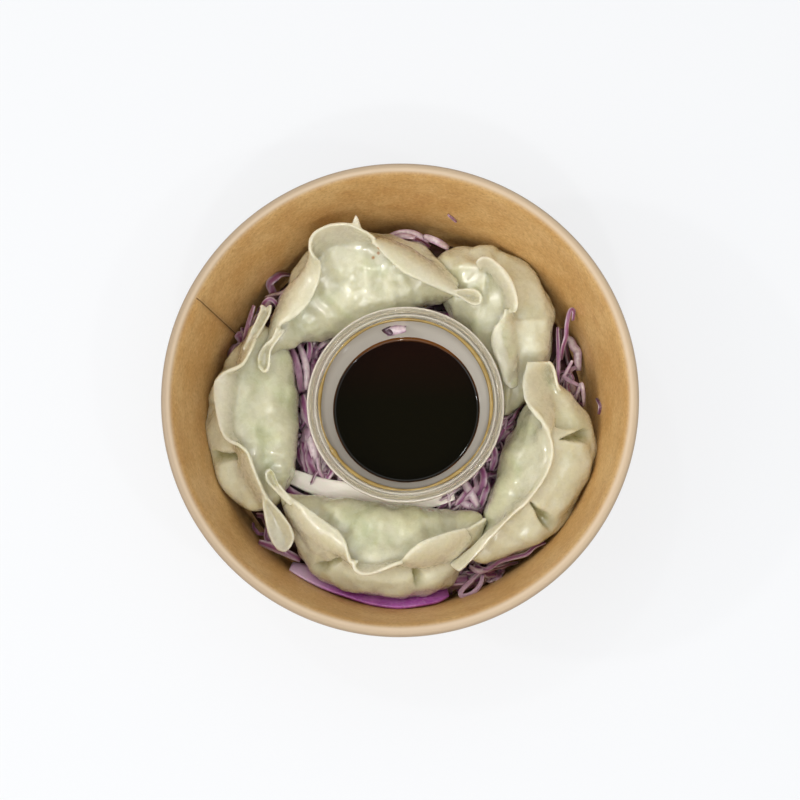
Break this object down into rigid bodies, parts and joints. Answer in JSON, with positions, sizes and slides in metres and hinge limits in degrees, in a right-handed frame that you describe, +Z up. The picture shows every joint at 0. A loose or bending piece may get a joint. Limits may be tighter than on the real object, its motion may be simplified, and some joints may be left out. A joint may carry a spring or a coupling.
{
  "type": "bowl of edamame dumplings",
  "caption": "Round kraft paper bowl of folded edamame dumplings leaning in a ring round a clear cup of soy sauce, on a bed of shredded red cabbage.",
  "frame": {"origin": "on the table, under the middle of the bowl's foot", "axes": "+Z up, +X to the right and +Y away from the viewer as the bowl was pictured"},
  "size_m": [0.15, 0.15, 0.06],
  "materials": {
    "kraft_paper": "matte kraft paperboard with a thin clear lining",
    "clear_plastic": "thin clear polypropylene, slightly milky",
    "soy_sauce": "still dark liquid with a mirror surface",
    "dumpling_dough": "steamed wheat dough, wet gloss, slightly translucent",
    "red_cabbage": "shredded raw cabbage, damp satin",
    "cabbage_rib": "white cabbage rib, damp satin",
    "cabbage_leaf": "waxy purple cabbage leaf, satin"
  },
  "bodies": {
    "root": {"bowl": "kraft_paper", "sauce_cup": "clear_plastic", "soy_sauce": "soy_sauce", "dumpling_nw": "dumpling_dough", "dumpling_w": "dumpling_dough", "dumpling_s": "dumpling_dough", "dumpling_e": "dumpling_dough", "dumpling_ne": "dumpling_dough", "cabbage_bed": "red_cabbage", "cabbage_rib": "cabbage_rib", "cabbage_leaf": "cabbage_leaf"}
  },
  "joints": []
}
